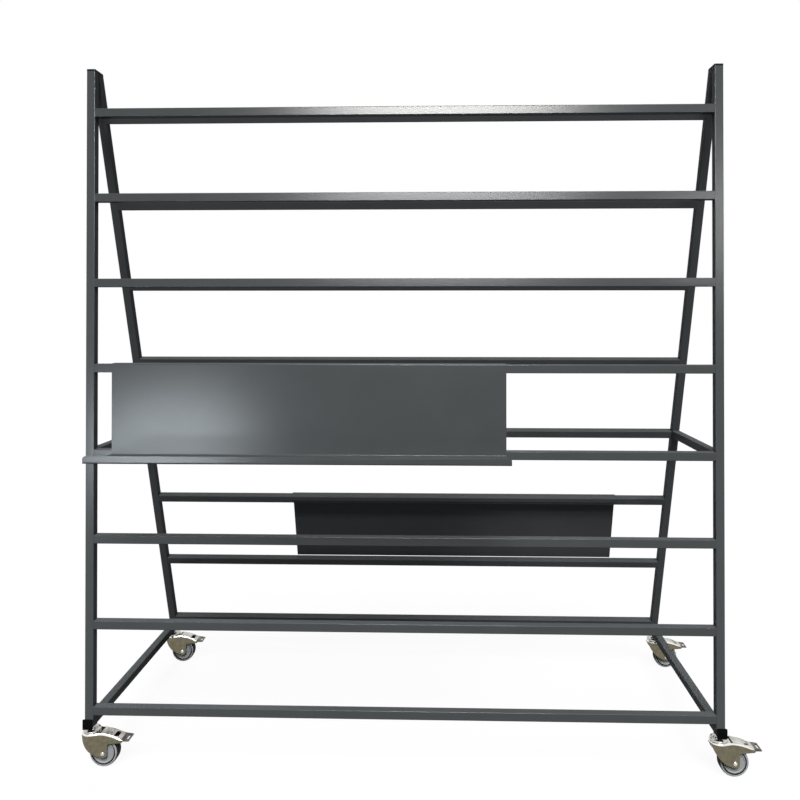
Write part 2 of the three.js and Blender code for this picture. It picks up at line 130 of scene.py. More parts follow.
class CartFinishes(bpy.types.PropertyGroup):
    """Colours of the cart's materials."""

    coat: bpy.props.FloatVectorProperty(
        name="Powder coat", description="Colour of tubes and ledges",
        default=(0.073, 0.079, 0.082), subtype="COLOR")
    cap: bpy.props.FloatVectorProperty(
        name="Caps", description="Colour of the plastic caps",
        default=(0.0035, 0.0036, 0.0036), subtype="COLOR")
    plate: bpy.props.FloatVectorProperty(
        name="Plating", description="Colour of the bright pressings",
        default=(0.55, 0.54, 0.505), subtype="COLOR")
    # Pedal pads: a darker plating on the pedals' foot ends.
    pad: bpy.props.FloatVectorProperty(
        name="Pedal pads", description="Colour of the pedals' worn pads",
        default=(0.135, 0.129, 0.109), subtype="COLOR")
    # Painted highlight: a lighter copy of the plating for the forks' rolled edges.
    polish: bpy.props.FloatVectorProperty(
        name="Polished edges", description="Colour of the forks' polished edges",
        default=(0.88, 0.87, 0.83), subtype="COLOR")
    # Painted shade: an olive, darker copy of the plating for the forks' upright sides.
    cheek: bpy.props.FloatVectorProperty(
        name="Fork cheeks", description="Colour of the forks' dull flat sides",
        default=(0.169, 0.151, 0.103), subtype="COLOR")
    hub: bpy.props.FloatVectorProperty(
        name="Hub", description="Colour of the wheel hubs",
        default=(0.33, 0.344, 0.351), subtype="COLOR")
    tyre: bpy.props.FloatVectorProperty(
        name="Tyre sides", description="Colour of the tyres' sides",
        default=(0.37, 0.383, 0.39), subtype="COLOR")
    # Tyre tread: its dark rubber, also painted as shade into the groove round the hub.
    tread: bpy.props.FloatVectorProperty(
        name="Tyre tread", description="Colour of the tyres' tread and groove",
        default=(0.022, 0.021, 0.019), subtype="COLOR")


def sizes():
    return bpy.context.scene.cart_sizes


def finishes():
    return bpy.context.scene.cart_finishes


# Materials

def noise(tree, scale, detail):
    """Noise on Object coordinates."""
    place = tree.nodes.new("ShaderNodeTexCoord")
    texture = tree.nodes.new("ShaderNodeTexNoise")
    texture.inputs["Scale"].default_value = scale
    texture.inputs["Detail"].default_value = detail
    tree.links.new(place.outputs["Object"], texture.inputs["Vector"])
    return texture.outputs["Fac"]


def graded(tree, value, low, high):
    """Spreads a noise's middle values between two numbers."""
    spread = tree.nodes.new("ShaderNodeMapRange")
    spread.inputs["From Min"].default_value = 0.3
    spread.inputs["From Max"].default_value = 0.7
    spread.inputs["To Min"].default_value = low
    spread.inputs["To Max"].default_value = high
    tree.links.new(value, spread.inputs["Value"])
    return spread.outputs["Result"]


def mottled(tree, value, colour, depth):
    """Lightens and darkens a colour by depth, following a noise."""
    blend = tree.nodes.new("ShaderNodeMix")
    blend.data_type = "RGBA"
    blend.inputs["A"].default_value = [c * (1 - depth) for c in colour] + [1]
    blend.inputs["B"].default_value = [c * (1 + depth) for c in colour] + [1]
    tree.links.new(graded(tree, value, 0.0, 1.0), blend.inputs["Factor"])
    return blend.outputs["Result"]


def bumped(tree, shader, value, strength, distance):
    """Gives a shader a bump that follows a noise."""
    bump = tree.nodes.new("ShaderNodeBump")
    bump.inputs["Strength"].default_value = strength
    bump.inputs["Distance"].default_value = distance
    tree.links.new(value, bump.inputs["Height"])
    tree.links.new(bump.outputs["Normal"], shader.inputs["Normal"])


def surface(name, colour, *, depth, mottle, grain, roughness, bump, metal=0.0, specular=0.5):
    """Material with a mottled colour, uneven roughness and a fine bump; made once, then shared.

    depth is how far the mottling lightens and darkens the colour, mottle and grain are the scales of the
    mottling and of the bump, roughness is a (low, high) pair and bump a (strength, distance) pair.
    """
    known = bpy.data.materials.get(name)
    if known:
        return known
    material = bpy.data.materials.new(name)
    material.use_nodes = True
    tree = material.node_tree
    shader = tree.nodes["Principled BSDF"]
    shader.inputs["Metallic"].default_value = metal
    shader.inputs["Specular IOR Level"].default_value = specular
    patches = noise(tree, mottle, 3.0)
    tree.links.new(mottled(tree, patches, colour, depth), shader.inputs["Base Color"])
    rough = graded(tree, noise(tree, mottle * 4, 2.0), *roughness)
    tree.links.new(rough, shader.inputs["Roughness"])
    strength, distance = bump
    bumped(tree, shader, noise(tree, grain, 2.0), strength, distance)
    return material


def powder_coat():
    """Matt paint under a thin gloss, which the Coat sockets hold."""
    material = surface("satin_powder_coat", finishes().coat, depth=0.04, mottle=9, grain=1100,
                       roughness=(0.5, 0.56), bump=(0.25, 0.1 * MM), specular=0.0)
    shader = material.node_tree.nodes["Principled BSDF"]
    shader.inputs["Coat Weight"].default_value = 0.05
    shader.inputs["Coat Roughness"].default_value = 0.22
    shader.inputs["Coat IOR"].default_value = 1.7
    return material


def cap_plastic():
    return surface("moulded_cap_plastic", finishes().cap, depth=0.18, mottle=60, grain=2600,
                   roughness=(0.42, 0.56), bump=(0.3, 0.08 * MM), specular=0.02)


def bright_plate():
    return surface("bright_plating", finishes().plate, depth=0.3, mottle=38, grain=420,
                   roughness=(0.12, 0.24), bump=(0.12, 0.15 * MM), metal=1.0)


# Painted shade: a darker copy of the plating for the forks' upright cheeks.
def dull_plate():
    return surface("dull_cheek_plating", finishes().cheek, depth=0.16, mottle=90, grain=700,
                   roughness=(0.22, 0.3), bump=(0.3, 0.15 * MM), metal=1.0)


# Darker plating for the pedals' foot ends.
def worn_pad():
    return surface("worn_pad_plating", finishes().pad, depth=0.35, mottle=70, grain=500,
                   roughness=(0.2, 0.32), bump=(0.2, 0.15 * MM), metal=1.0)


# Painted highlight: a lighter copy of the plating for the forks' rolled edges.
def polished_edge():
    return surface("polished_edge_plating", finishes().polish, depth=0.05, mottle=60, grain=500,
                   roughness=(0.1, 0.16), bump=(0.1, 0.1 * MM), metal=1.0)


def hub_plastic():
    return surface("moulded_hub_plastic", finishes().hub, depth=0.05, mottle=30, grain=1500,
                   roughness=(0.4, 0.52), bump=(0.2, 0.08 * MM), specular=0.06)


def tyre_rubber():
    return surface("soft_tyre_rubber", finishes().tyre, depth=0.07, mottle=55, grain=1300,
                   roughness=(0.62, 0.78), bump=(0.35, 0.12 * MM), specular=0.06)


# Dark tread rubber, also used as painted shade in the groove round the hub.
def tread_rubber():
    return surface("dark_tread_rubber", finishes().tread, depth=0.12, mottle=55, grain=1300,
                   roughness=(0.7, 0.85), bump=(0.3, 0.1 * MM), specular=0.12)


# Mesh helpers

def middle(node):
    """Middle of a CAD node's box."""
    low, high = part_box(node)
    return (low + high) / 2


def sharp_edges(bm):
    return [e for e in bm.edges if len(e.link_faces) == 2 and e.calc_face_angle(0) > SHARP_ANGLE]


def upright_edges(bm, length):
    """Edges that rise by more than a length."""
    return [e for e in bm.edges if abs((e.verts[0].co - e.verts[1].co).z) > length]


def round_edges(bm, edges, radius, segments):
    bmesh.ops.bevel(bm, geom=edges, offset=radius, offset_type="OFFSET", segments=segments,
                    profile=0.5, affect="EDGES", clamp_overlap=True, material=-1)


def round_corner(bm, corner, radius):
    bmesh.ops.bevel(bm, geom=[corner], offset=radius, offset_type="OFFSET", segments=ROUND_STEPS,
                    profile=0.5, affect="VERTICES", clamp_overlap=False, material=-1)


def moved(bm, matrix):
    bmesh.ops.transform(bm, matrix=matrix, verts=bm.verts)
    return bm


def block(low, high):
    """Box between two corners."""
    bm = bmesh.new()
    bmesh.ops.create_cube(bm, size=1)
    low, high = Vector(low), Vector(high)
    bmesh.ops.scale(bm, vec=high - low, verts=bm.verts)
    bmesh.ops.translate(bm, vec=(low + high) / 2, verts=bm.verts)
    return bm


def square_tube(size, length, corner, open_ends=True):
    """Square tube along Z, centred; with open ends it is a skin that the wall is given to later."""
    bm = block((-size / 2, -size / 2, -length / 2), (size / 2, size / 2, length / 2))
    round_edges(bm, upright_edges(bm, length / 2), corner, segments=4)
    if open_ends:
        ends = [f for f in bm.faces if abs(f.normal.z) > 0.9]
        bmesh.ops.delete(bm, geom=ends, context="FACES")
    return bm


def cut(bm, point, direction):
    """Cuts away what lies beyond a point along a direction."""
    geom = bm.verts[:] + bm.edges[:] + bm.faces[:]
    bmesh.ops.bisect_plane(bm, geom=geom, dist=1e-7, plane_co=point, plane_no=direction,
                           clear_outer=True)
    return bm


def prism(corners, width, place=None):
    """Plate from (along, up, rounding) corners in millimetres, drawn in XZ and centred on Y."""
    bm = bmesh.new()
    verts = [bm.verts.new((x * MM, -width * MM / 2, z * MM)) for x, z, _ in corners]
    bm.faces.new(verts)
    for vert, (_, _, rounding) in zip(verts, corners):
        if rounding:
            round_corner(bm, vert, rounding * MM)
    whole = bmesh.ops.extrude_face_region(bm, geom=bm.faces[:])
    far = [v for v in whole["geom"] if isinstance(v, bmesh.types.BMVert)]
    bmesh.ops.translate(bm, vec=(0, width * MM, 0), verts=far)
    bmesh.ops.recalc_face_normals(bm, faces=bm.faces)
    return moved(bm, place) if place else bm


def spun(profile, axis="Z", edge=0.0, steps=SPIN_STEPS):
    """Round body from (radius, along) points in millimetres, its sharp edges rounded by edge."""
    bm = bmesh.new()
    verts = [bm.verts.new((r * MM, 0, a * MM)) for r, a in profile]
    edges = [bm.edges.new(pair) for pair in zip(verts, verts[1:])]
    bmesh.ops.spin(bm, geom=verts + edges, cent=(0, 0, 0), axis=(0, 0, 1), dvec=(0, 0, 0),
                   angle=2 * math.pi, steps=steps, use_merge=True, use_duplicate=False)
    bmesh.ops.remove_doubles(bm, verts=bm.verts, dist=SAME_PLACE)
    bmesh.ops.recalc_face_normals(bm, faces=bm.faces)
    if edge:
        round_edges(bm, sharp_edges(bm), edge * MM, segments=3)
    if axis == "Y":
        moved(bm, Matrix.Rotation(math.radians(-90), 4, "X"))
    if axis == "X":
        moved(bm, Matrix.Rotation(math.radians(90), 4, "Y"))
    return bm


def to_mesh(bm, name):
    """Turns a bmesh into a mesh and frees it."""
    mesh = bpy.data.meshes.new(name)
    bm.to_mesh(mesh)
    bm.free()
    return mesh


def shown(mesh, materials, body, nodes, wall=0.0, side=-1):
    """Puts a finished mesh in the scene as a piece that rides on a body and stands for CAD nodes.

    A wall gives a skin its thickness: inwards for side -1, to both sides for side 0.
    """
    piece = bpy.data.objects.new(mesh.name, mesh)
    bpy.context.scene.collection.objects.link(piece)
    for material in materials:
        mesh.materials.append(material)
    mesh.polygons.foreach_set("use_smooth", [True] * len(mesh.polygons))
    mesh.set_sharp_from_angle(angle=SHARP_ANGLE)
    if wall:
        thicken = piece.modifiers.new("Wall", "SOLIDIFY")
        thicken.thickness = wall
        thicken.offset = side
        thicken.use_even_offset = True
    flats = piece.modifiers.new("Flats stay flat", "WEIGHTED_NORMAL")
    flats.keep_sharp = True
    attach(piece, body)
    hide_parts(*nodes)


def joined(base, steps):
    """Runs boolean and bevel steps on a bmesh and gives back the finished bmesh.

    A step is ("UNION" | "DIFFERENCE" | "INTERSECT", other bmesh) or ("ROUND", radius, segments).
    """
    work = bpy.data.objects.new("work", to_mesh(base, "work"))
    bpy.context.scene.collection.objects.link(work)
    spent = [work]
    for step in steps:
        if step[0] == "ROUND":
            rounding = work.modifiers.new("Rounding", "BEVEL")
            rounding.width = step[1] * MM
            rounding.segments = step[2]
            rounding.limit_method = "ANGLE"
            rounding.angle_limit = SHARP_ANGLE
            rounding.use_clamp_overlap = False
            continue
        tool = bpy.data.objects.new("tool", to_mesh(step[1], "tool"))
        bpy.context.scene.collection.objects.link(tool)
        spent.append(tool)
        carve = work.modifiers.new("Carve", "BOOLEAN")
        carve.operation = step[0]
        carve.object = tool
        carve.solver = "EXACT"
    bpy.context.view_layer.update()
    result = bmesh.new()
    result.from_object(work, bpy.context.evaluated_depsgraph_get())
    for thing in spent:
        mesh = thing.data
        bpy.data.objects.remove(thing)
        bpy.data.meshes.remove(mesh)
    bmesh.ops.remove_doubles(result, verts=result.verts, dist=0.02 * MM)
    return result


def each_caster():
    """Each caster's name with the shift from the swivel axis on the floor to its place."""
    for name in CASTERS:
        centre = middle(f"{name}_swivel_head")
        yield name, Matrix.Translation((centre.x, centre.y, 0))


def caster_pieces(shape, part, materials, body):
    """Copies one shape to all four casters, where it stands for the CAD node of that part."""
    for name, place in each_caster():
        mesh = to_mesh(moved(shape.copy(), place), f"{name}_{part}_piece")
        shown(mesh, materials, body.format(name), [f"{name}_{part}"])
    shape.free()


def frame_piece(bm, name, material, nodes, wall=0.0):
    """Shows a piece that is fast on the frame."""
    shown(to_mesh(bm, name), [material], "frame", nodes, wall)


# Pieces

class CART_OT_side_frames(bpy.types.Operator):
    """Posts, rear legs, base rails and mid rails of square tube"""

    bl_idname = "cart.side_frames"
    bl_label = "Side frames"

    def tube(self, bm, node):
        frame_piece(bm, f"{node}_piece", powder_coat(), [node], sizes().tube_wall)

    def straight(self, node, axis):
        """Skin of a tube that fills its node's box along Y (axis 1) or Z (axis 2)."""
        low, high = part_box(node)
        length = (high - low)[axis]
        bm = square_tube(high.x - low.x, length, sizes().tube_corner)
        if axis == 1:
            moved(bm, Matrix.Rotation(math.radians(90), 4, "X"))
        return moved(bm, Matrix.Translation((low + high) / 2))

    def leg(self, node):
        """Skin of a leaning tube, cut level at its foot and top."""
        low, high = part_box(node)
        size, slope = high.x - low.x, sizes().leg_slope
        foot = Vector(((low.x + high.x) / 2, high.y - size / 2 / math.cos(slope), low.z))
        length = (high.z - low.z) / math.cos(slope)
        bm = square_tube(size, length + 4 * size, sizes().tube_corner)
        moved(bm, Matrix.Translation((0, 0, length / 2)))
        moved(bm, Matrix.Translation(foot) @ Matrix.Rotation(slope, 4, "X"))
        cut(bm, (0, 0, low.z), (0, 0, -1))
        return cut(bm, (0, 0, high.z), (0, 0, 1))

    def execute(self, context):
        slope = sizes().leg_slope
        for side in SIDES:
            self.tube(self.straight(f"{side}_post", 2), f"{side}_post")
            self.tube(self.straight(f"{side}_base_rail", 1), f"{side}_base_rail")
            self.tube(self.leg(f"{side}_leg"), f"{side}_leg")
            node = f"{side}_mid_rail"
            low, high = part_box(node)
            mitre = (0, math.cos(slope), math.sin(slope))
            self.tube(cut(self.straight(node, 1), (0, high.y, low.z), mitre), node)
        return {"FINISHED"}


class CART_OT_cross_bars(bpy.types.Operator):
    """Front and rear cross bars, the rear ones turned with the legs' slope"""

    bl_idname = "cart.cross_bars"
    bl_label = "Cross bars"

    def execute(self, context):
        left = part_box("left_post")[1].x
        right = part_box("right_post")[0].x
        low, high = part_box("front_bar_1")
        size = high.y - low.y
        for face, turn in (("front", 0.0), ("rear", sizes().leg_slope)):
            for number in BAR_NUMBERS:
                node = f"{face}_bar_{number}"
                bm = square_tube(size, right - left, sizes().tube_corner, open_ends=False)
                moved(bm, Matrix.Rotation(math.radians(90), 4, "Y"))
                moved(bm, Matrix.Translation(middle(node)) @ Matrix.Rotation(turn, 4, "X"))
                frame_piece(bm, f"{node}_piece", powder_coat(), [node])
        return {"FINISHED"}


class CART_OT_bar_bolts(bpy.types.Operator):
    """Button-head bolts with hexagon sockets, one at each end of every bar"""

    bl_idname = "cart.bar_bolts"
    bl_label = "Bar bolts"

    socket_radius, socket_depth, socket_middle = 2.5 * MM, 4 * MM, 3.6 * MM

    def head(self):
        """Bolt head that points along X from the tube's face."""
        radius = sizes().bolt_head / 2 / MM
        dome = spun([(0, 0), (radius, 0), (radius, 0.6), (radius * 0.86, 1.7), (radius * 0.64, 2.6),
                     (radius * 0.42, 3.1), (0, 3.2)], "X", edge=0.15, steps=24)
        socket = bmesh.new()
        bmesh.ops.create_cone(socket, cap_ends=True, segments=6, radius1=self.socket_radius,
                              radius2=self.socket_radius, depth=self.socket_depth)
        turn = Matrix.Rotation(math.radians(90), 4, "Y")
        moved(socket, Matrix.Translation((self.socket_middle, 0, 0)) @ turn)
        return joined(dome, [("DIFFERENCE", socket)])

    def execute(self, context):
        head = self.head()
        outer_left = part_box("left_post")[0].x
        outer_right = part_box("right_post")[1].x
        for face in ("front", "rear"):
            for number in BAR_NUMBERS:
                centre = middle(f"{face}_bar_{number}")
                pair = bmesh.new()
                for x, turn in ((outer_right, 0.0), (outer_left, math.pi)):
                    end = head.copy()
                    place = Matrix.Translation((x, centre.y, centre.z))
                    moved(end, place @ Matrix.Rotation(turn, 4, "Z"))
                    mesh = to_mesh(end, "bolt")
                    pair.from_mesh(mesh)
                    bpy.data.meshes.remove(mesh)
                frame_piece(pair, f"{face}_bar_{number}_bolts", powder_coat(), [])
        head.free()
        return {"FINISHED"}


class CART_OT_end_caps(bpy.types.Operator):
    """Plastic caps of the posts, legs and base rails"""

    bl_idname = "cart.end_caps"
    bl_label = "End caps"

    # A leg's cap is this much thinner than a post's, and a rail cap's corners are this much rounder.
    leg_cap_thinner = 0.3 * MM
    rail_cap_rounder = 1.1

    def plate(self, width, depth, thickness, corner):
        """Cap plate on z 0, rounded at its corners and round its top edge."""
        bm = block((-width / 2, -depth / 2, 0), (width / 2, depth / 2, thickness))
        round_edges(bm, upright_edges(bm, thickness / 2), corner, segments=4)
        rim = [e for e in bm.edges if all(v.co.z > thickness * 0.9 for v in e.verts)]
        round_edges(bm, rim, sizes().cap_edge, segments=3)
        return bm

    def post_cap(self, side):
        size = sizes()
        low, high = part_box(f"{side}_post_cap")
        lap, thickness = 2 * size.cap_lap, size.cap_plate + size.cap_skirt
        bm = self.plate(high.x - low.x + lap, high.y - low.y + lap, thickness, size.tube_corner)
        centre = (low + high) / 2
        return moved(bm, Matrix.Translation((centre.x, centre.y, high.z - thickness)))

    def leg_cap(self, side):
        """Level cap whose sides lean with the leg."""
        size = sizes()
        low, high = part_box(f"{side}_leg_cap")
        leg_low, leg_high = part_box(f"{side}_leg")
        width = high.x - low.x
        depth = width / math.cos(size.leg_slope)
        lap, thickness = 2 * size.cap_lap, size.cap_plate + size.cap_skirt - self.leg_cap_thinner
        bm = self.plate(width + lap, depth + lap, thickness, size.tube_corner)
        shear = Matrix.Identity(4)
        shear[1][2] = -math.tan(size.leg_slope)
        base = high.z - thickness
        run = (base - leg_low.z) * math.tan(size.leg_slope)
        place = Matrix.Translation(((low.x + high.x) / 2, leg_high.y - depth / 2 - run, base))
        return moved(bm, place @ shear)

    def rail_cap(self, side, end):
        size = sizes()
        low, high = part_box(f"{side}_rail_{end}_cap")
        corner = size.tube_corner * self.rail_cap_rounder
        bm = self.plate(high.x - low.x, high.z - low.z, size.cap_plate, corner)
        y, turn = (low.y + size.cap_plate, 90) if end == "front" else (high.y - size.cap_plate, -90)
        centre = (low + high) / 2
        place = Matrix.Translation((centre.x, y, centre.z))
        return moved(bm, place @ Matrix.Rotation(math.radians(turn), 4, "X"))

    def add(self, bm, node):
        frame_piece(bm, f"{node}_piece", cap_plastic(), [node])

    def execute(self, context):
        for side in SIDES:
            self.add(self.post_cap(side), f"{side}_post_cap")
            self.add(self.leg_cap(side), f"{side}_leg_cap")
            for end in ("front", "rear"):
                self.add(self.rail_cap(side, end), f"{side}_rail_{end}_cap")
        return {"FINISHED"}


class CART_OT_ledges(bpy.types.Operator):
    """Bent sheet ledges hooked over a front and a rear bar"""

    bl_idname = "cart.ledges"
    bl_label = "Ledges"

    # Middle of the sheet from hook to lip, in millimetres from the bar's outer face (outward is negative)
    # and from its axis.
    section = ((26.4, -2.1), (26.4, 13.9), (-1.4, 13.9), (-1.4, -252.05), (-180.0, -242.69),
               (-180.0, -222.6))

    def sheet(self, length):
        """Bent skin along X, centred, with rounded bends and corners."""
        size = sizes()
        bm = bmesh.new()
        verts = [bm.verts.new((-length / 2, y * MM, z * MM)) for y, z in self.section]
        edges = [bm.edges.new(pair) for pair in zip(verts, verts[1:])]
        grown = bmesh.ops.extrude_edge_only(bm, edges=edges)
        far = [v for v in grown["geom"] if isinstance(v, bmesh.types.BMVert)]
        bmesh.ops.translate(bm, vec=(length, 0, 0), verts=far)
        bmesh.ops.recalc_face_normals(bm, faces=bm.faces)
        edge_heights = self.section[-1][1] * MM, self.section[0][1] * MM
        ends = [v for v in bm.verts if any(abs(v.co.z - z) < SAME_PLACE for z in edge_heights)]
        round_edges(bm, sharp_edges(bm), size.bend, segments=ROUND_STEPS)
        for end in ends:
            round_corner(bm, end, size.lip_corner)
        return bm

    def add(self, node, place):
        low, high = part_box(node)
        across = Matrix.Translation(((low.x + high.x) / 2, 0, 0))
        mesh = to_mesh(moved(self.sheet(high.x - low.x), across @ place), f"{node}_piece")
        shown(mesh, [powder_coat()], f"{node}_body", [node], wall=sizes().sheet, side=0)

    def execute(self, context):
        bar_low, bar_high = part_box(FRONT_LEDGE_BAR)
        half = (bar_high.y - bar_low.y) / 2
        centre = middle(FRONT_LEDGE_BAR)
        self.add("front_ledge", Matrix.Translation((0, centre.y - half, centre.z)))
        centre = middle(REAR_LEDGE_BAR)
        place = Matrix.Translation((0, centre.y, centre.z)) @ Matrix.Rotation(sizes().leg_slope, 4, "X")
        place = place @ Matrix.Translation((0, half, 0)) @ Matrix.Rotation(math.pi, 4, "Z")
        self.add("rear_ledge", place)
        return {"FINISHED"}


class CART_OT_swivel_heads(bpy.types.Operator):
    """Domed swivel heads between the base rails and the forks"""

    bl_idname = "cart.swivel_heads"
    bl_label = "Swivel heads"

    # (radius, height) in millimetres
    profile = ((0, 100), (25, 100), (25, 104.4), (22.6, 106.6), (18.4, 107.6), (16.4, 110.4),
               (14, 112.6), (14, 118), (0, 118))

    def execute(self, context):
        head = spun(self.profile, "Z", edge=0.7)
        caster_pieces(head, "swivel_head", [bright_plate()], "frame")
        return {"FINISHED"}


class CART_OT_forks(bpy.types.Operator):
    """Pressed caster forks, with painted shade on the upright cheeks and a painted highlight on the rolled
    edges
    """

    bl_idname = "cart.forks"
    bl_label = "Forks"

    # Millimetres from the swivel axis on the floor; a corner is (along, up or across, rounding).
    side_view = ((-32, 99.6, 0), (-32, 91.6, 0), (-25.5, 91.6, 0), (-6.7, 44.8, 40), (53, 23.05, 18.4),
                 (53, 69.6, 6), (96.5, 73.6, 0), (99, 79.6, 2), (60, 99.6, 29))
    blank_width = 70
    top_height = 99.6
    head_radius, half_width, inner_half_width = 28.5, 21, 18.5
    shoulder, past_end = 30.5, 118
    below, above = -10, 130
    slot_start = 28.9
    pin_radius = 6.4
    # Upright faces below this height take the cheeks' painted shade.
    dull_below = 96
    # The wings' tips past blunt_tip aren't rolled, and the rolled edge fades out before roll_end.
    roll_steps = 4
    blunt_tip, roll_end, roll_fade = 96, 97, 14

    def plan(self, radius, half, low, high):
        """Plan prism: round head that tapers to straight sides, between two heights."""
        waist = radius * 0.135
        near = [(-radius, -radius, radius * 0.999), (waist, -radius, 3.5), (self.shoulder, -half, 6),
                (self.past_end, -half, 0)]
        far = [(along, -across, rounding) for along, across, rounding in reversed(near)]
        lie = Matrix.Translation((0, 0, (low + high) / 2 * MM)) @ Matrix.Rotation(math.radians(-90), 4, "X")
        return prism(near + far, high - low, lie)

    def roll_edge(self, shell):
        """Rolls the edge between the fork's top and its upright sides."""
        size = sizes()
        bmesh.ops.remove_doubles(shell, verts=shell.verts, dist=0.1 * MM)
        shell.normal_update()
        top = [f for f in shell.faces
               if f.normal.z > 0.25 and f.calc_center_median().x < self.blunt_tip * MM]
        for step in range(self.roll_steps):
            turn, following = (math.pi / 2 * k / self.roll_steps for k in (step, step + 1))
            width = size.fork_edge * (math.cos(turn) - math.cos(following))
            ring = bmesh.ops.inset_region(shell, faces=top, use_boundary=True, use_even_offset=True,
                                          thickness=width)
            within = {v for f in top for v in f.verts}
            for vert in {v for f in ring["faces"] for v in f.verts} - within:
                fade = min(1.0, max(0.0, (self.roll_end * MM - vert.co.x) / (self.roll_fade * MM)))
                vert.co.z -= size.fork_drop * (1 - math.sin(turn)) * fade

    def share_finishes(self, fork):
        """Numbers the faces' finishes: 0 bright, 1 the cheeks' painted shade, 2 the rolled edge's painted
        highlight.
        """
        for face in fork.faces:
            normal = face.normal
            # Upright faces low on the fork get painted shade.
            if abs(normal.z) < 0.3 and face.calc_center_median().z < self.dull_below * MM:
                face.material_index = 1
            # Tilted faces of the rolled edge get a painted highlight.
            elif normal.z > 0.15 and (abs(normal.y) > 0.15 or normal.x < -0.15):
                face.material_index = 2

    def execute(self, context):
        wall = sizes().fork_wall / MM
        outside = self.plan(self.head_radius, self.half_width, self.below, self.above)
        inside = self.plan(self.head_radius - wall, self.inner_half_width, self.below, self.top_height - wall)
        shell = joined(prism(self.side_view, self.blank_width), [("INTERSECT", outside)])
        self.roll_edge(shell)
        slot = block((self.slot_start * MM, -self.inner_half_width * MM, self.below * MM),
                     (self.past_end * MM, self.inner_half_width * MM, self.above * MM))
        pin = spun([(0, 80), (self.pin_radius, 80), (self.pin_radius, 120), (0, 120)], "Z", steps=32)
        fork = joined(shell, [("DIFFERENCE", inside), ("DIFFERENCE", slot), ("DIFFERENCE", pin)])
        self.share_finishes(fork)
        # Bright plating, then its darker copy as painted shade on the cheeks and its lighter copy as painted
        # highlight on the rolled edges.
        finish = [bright_plate(), dull_plate(), polished_edge()]
        caster_pieces(fork, "fork", finish, "{}_swivel")
        return {"FINISHED"}


class CART_OT_wheels(bpy.types.Operator):
    """Wheel hubs with dished webs, and tyres with painted shade in the groove round the hub"""

    bl_idname = "cart.wheels"
    bl_label = "Wheels"

    # From the swivel axis on the floor.
    axle = Matrix.Translation((40 * MM, 0, 41.65 * MM))
    # Near halves of the profiles, (radius, along the axle) in millimetres.
    hub = ((4.3, -18.2), (9.5, -18.2), (11, -17), (12.4, -14.6), (14, -13.6), (27.4, -13.6),
           (28.8, -15.6), (30.8, -15.6), (31.6, -14.4))
    tyre = ((31.8, -13), (34.4, -13), (35.2, -15.5), (36.4, -16), (38.6, -15.6), (40.4, -13.8),
            (41.2, -11), (41.65, -6))
    # Radii between which a tyre shows its pale side; below them the groove round the hub takes the tread's
    # dark colour as painted shade, above them lies the tread.
    side_from, side_to = 35.1 * MM, 40.6 * MM

    def both_halves(self, near):
        """Closed profile from its near half."""
        return [*near, *((r, -a) for r, a in reversed(near)), near[0]]

    def execute(self, context):
        hub = spun(self.both_halves(self.hub), "Y", edge=0.4)
        caster_pieces(moved(hub, self.axle), "wheel_hub", [hub_plastic()], "{}_wheel")
        tyre = spun(self.both_halves(self.tyre), "Y")
        for face in tyre.faces:
            centre = face.calc_center_median()
            pale = self.side_from < math.hypot(centre.x, centre.z) < self.side_to
            # Groove and tread faces take the dark colour; in the groove it is painted shade.
            face.material_index = int(not pale)
        finish = [tyre_rubber(), tread_rubber()]
        caster_pieces(moved(tyre, self.axle), "tyre", finish, "{}_wheel")
        return {"FINISHED"}


class CART_OT_axle_bolts(bpy.types.Operator):
    """Axle bolts with a domed head in front and a nut behind"""

    bl_idname = "cart.axle_bolts"
    bl_label = "Axle bolts"

    # (radius, along the axle) in millimetres
    profile = ((0, -25.3), (2.4, -25.2), (4.6, -24.3), (6, -22.8), (6.5, -21.3), (4, -21.3), (4, 24.2),
               (3.2, 25.3), (0, 25.3))
    nut_radius, nut_depth, nut_middle = 6.5 * MM, 3.4 * MM, 23 * MM

    def execute(self, context):
        bolt = spun(self.profile, "Y", edge=0.2, steps=32)
        nut = bmesh.new()
        bmesh.ops.create_cone(nut, cap_ends=True, segments=6, radius1=self.nut_radius,
                              radius2=self.nut_radius, depth=self.nut_depth)
        round_edges(nut, sharp_edges(nut), 0.4 * MM, segments=2)
        turn = Matrix.Rotation(math.radians(90), 4, "X")
        moved(nut, Matrix.Translation((0, self.nut_middle, 0)) @ turn)
        bolt = joined(bolt, [("UNION", nut)])
        moved(bolt, CART_OT_wheels.axle)
        caster_pieces(bolt, "axle_bolt", [bright_plate()], "{}_swivel")
        return {"FINISHED"}


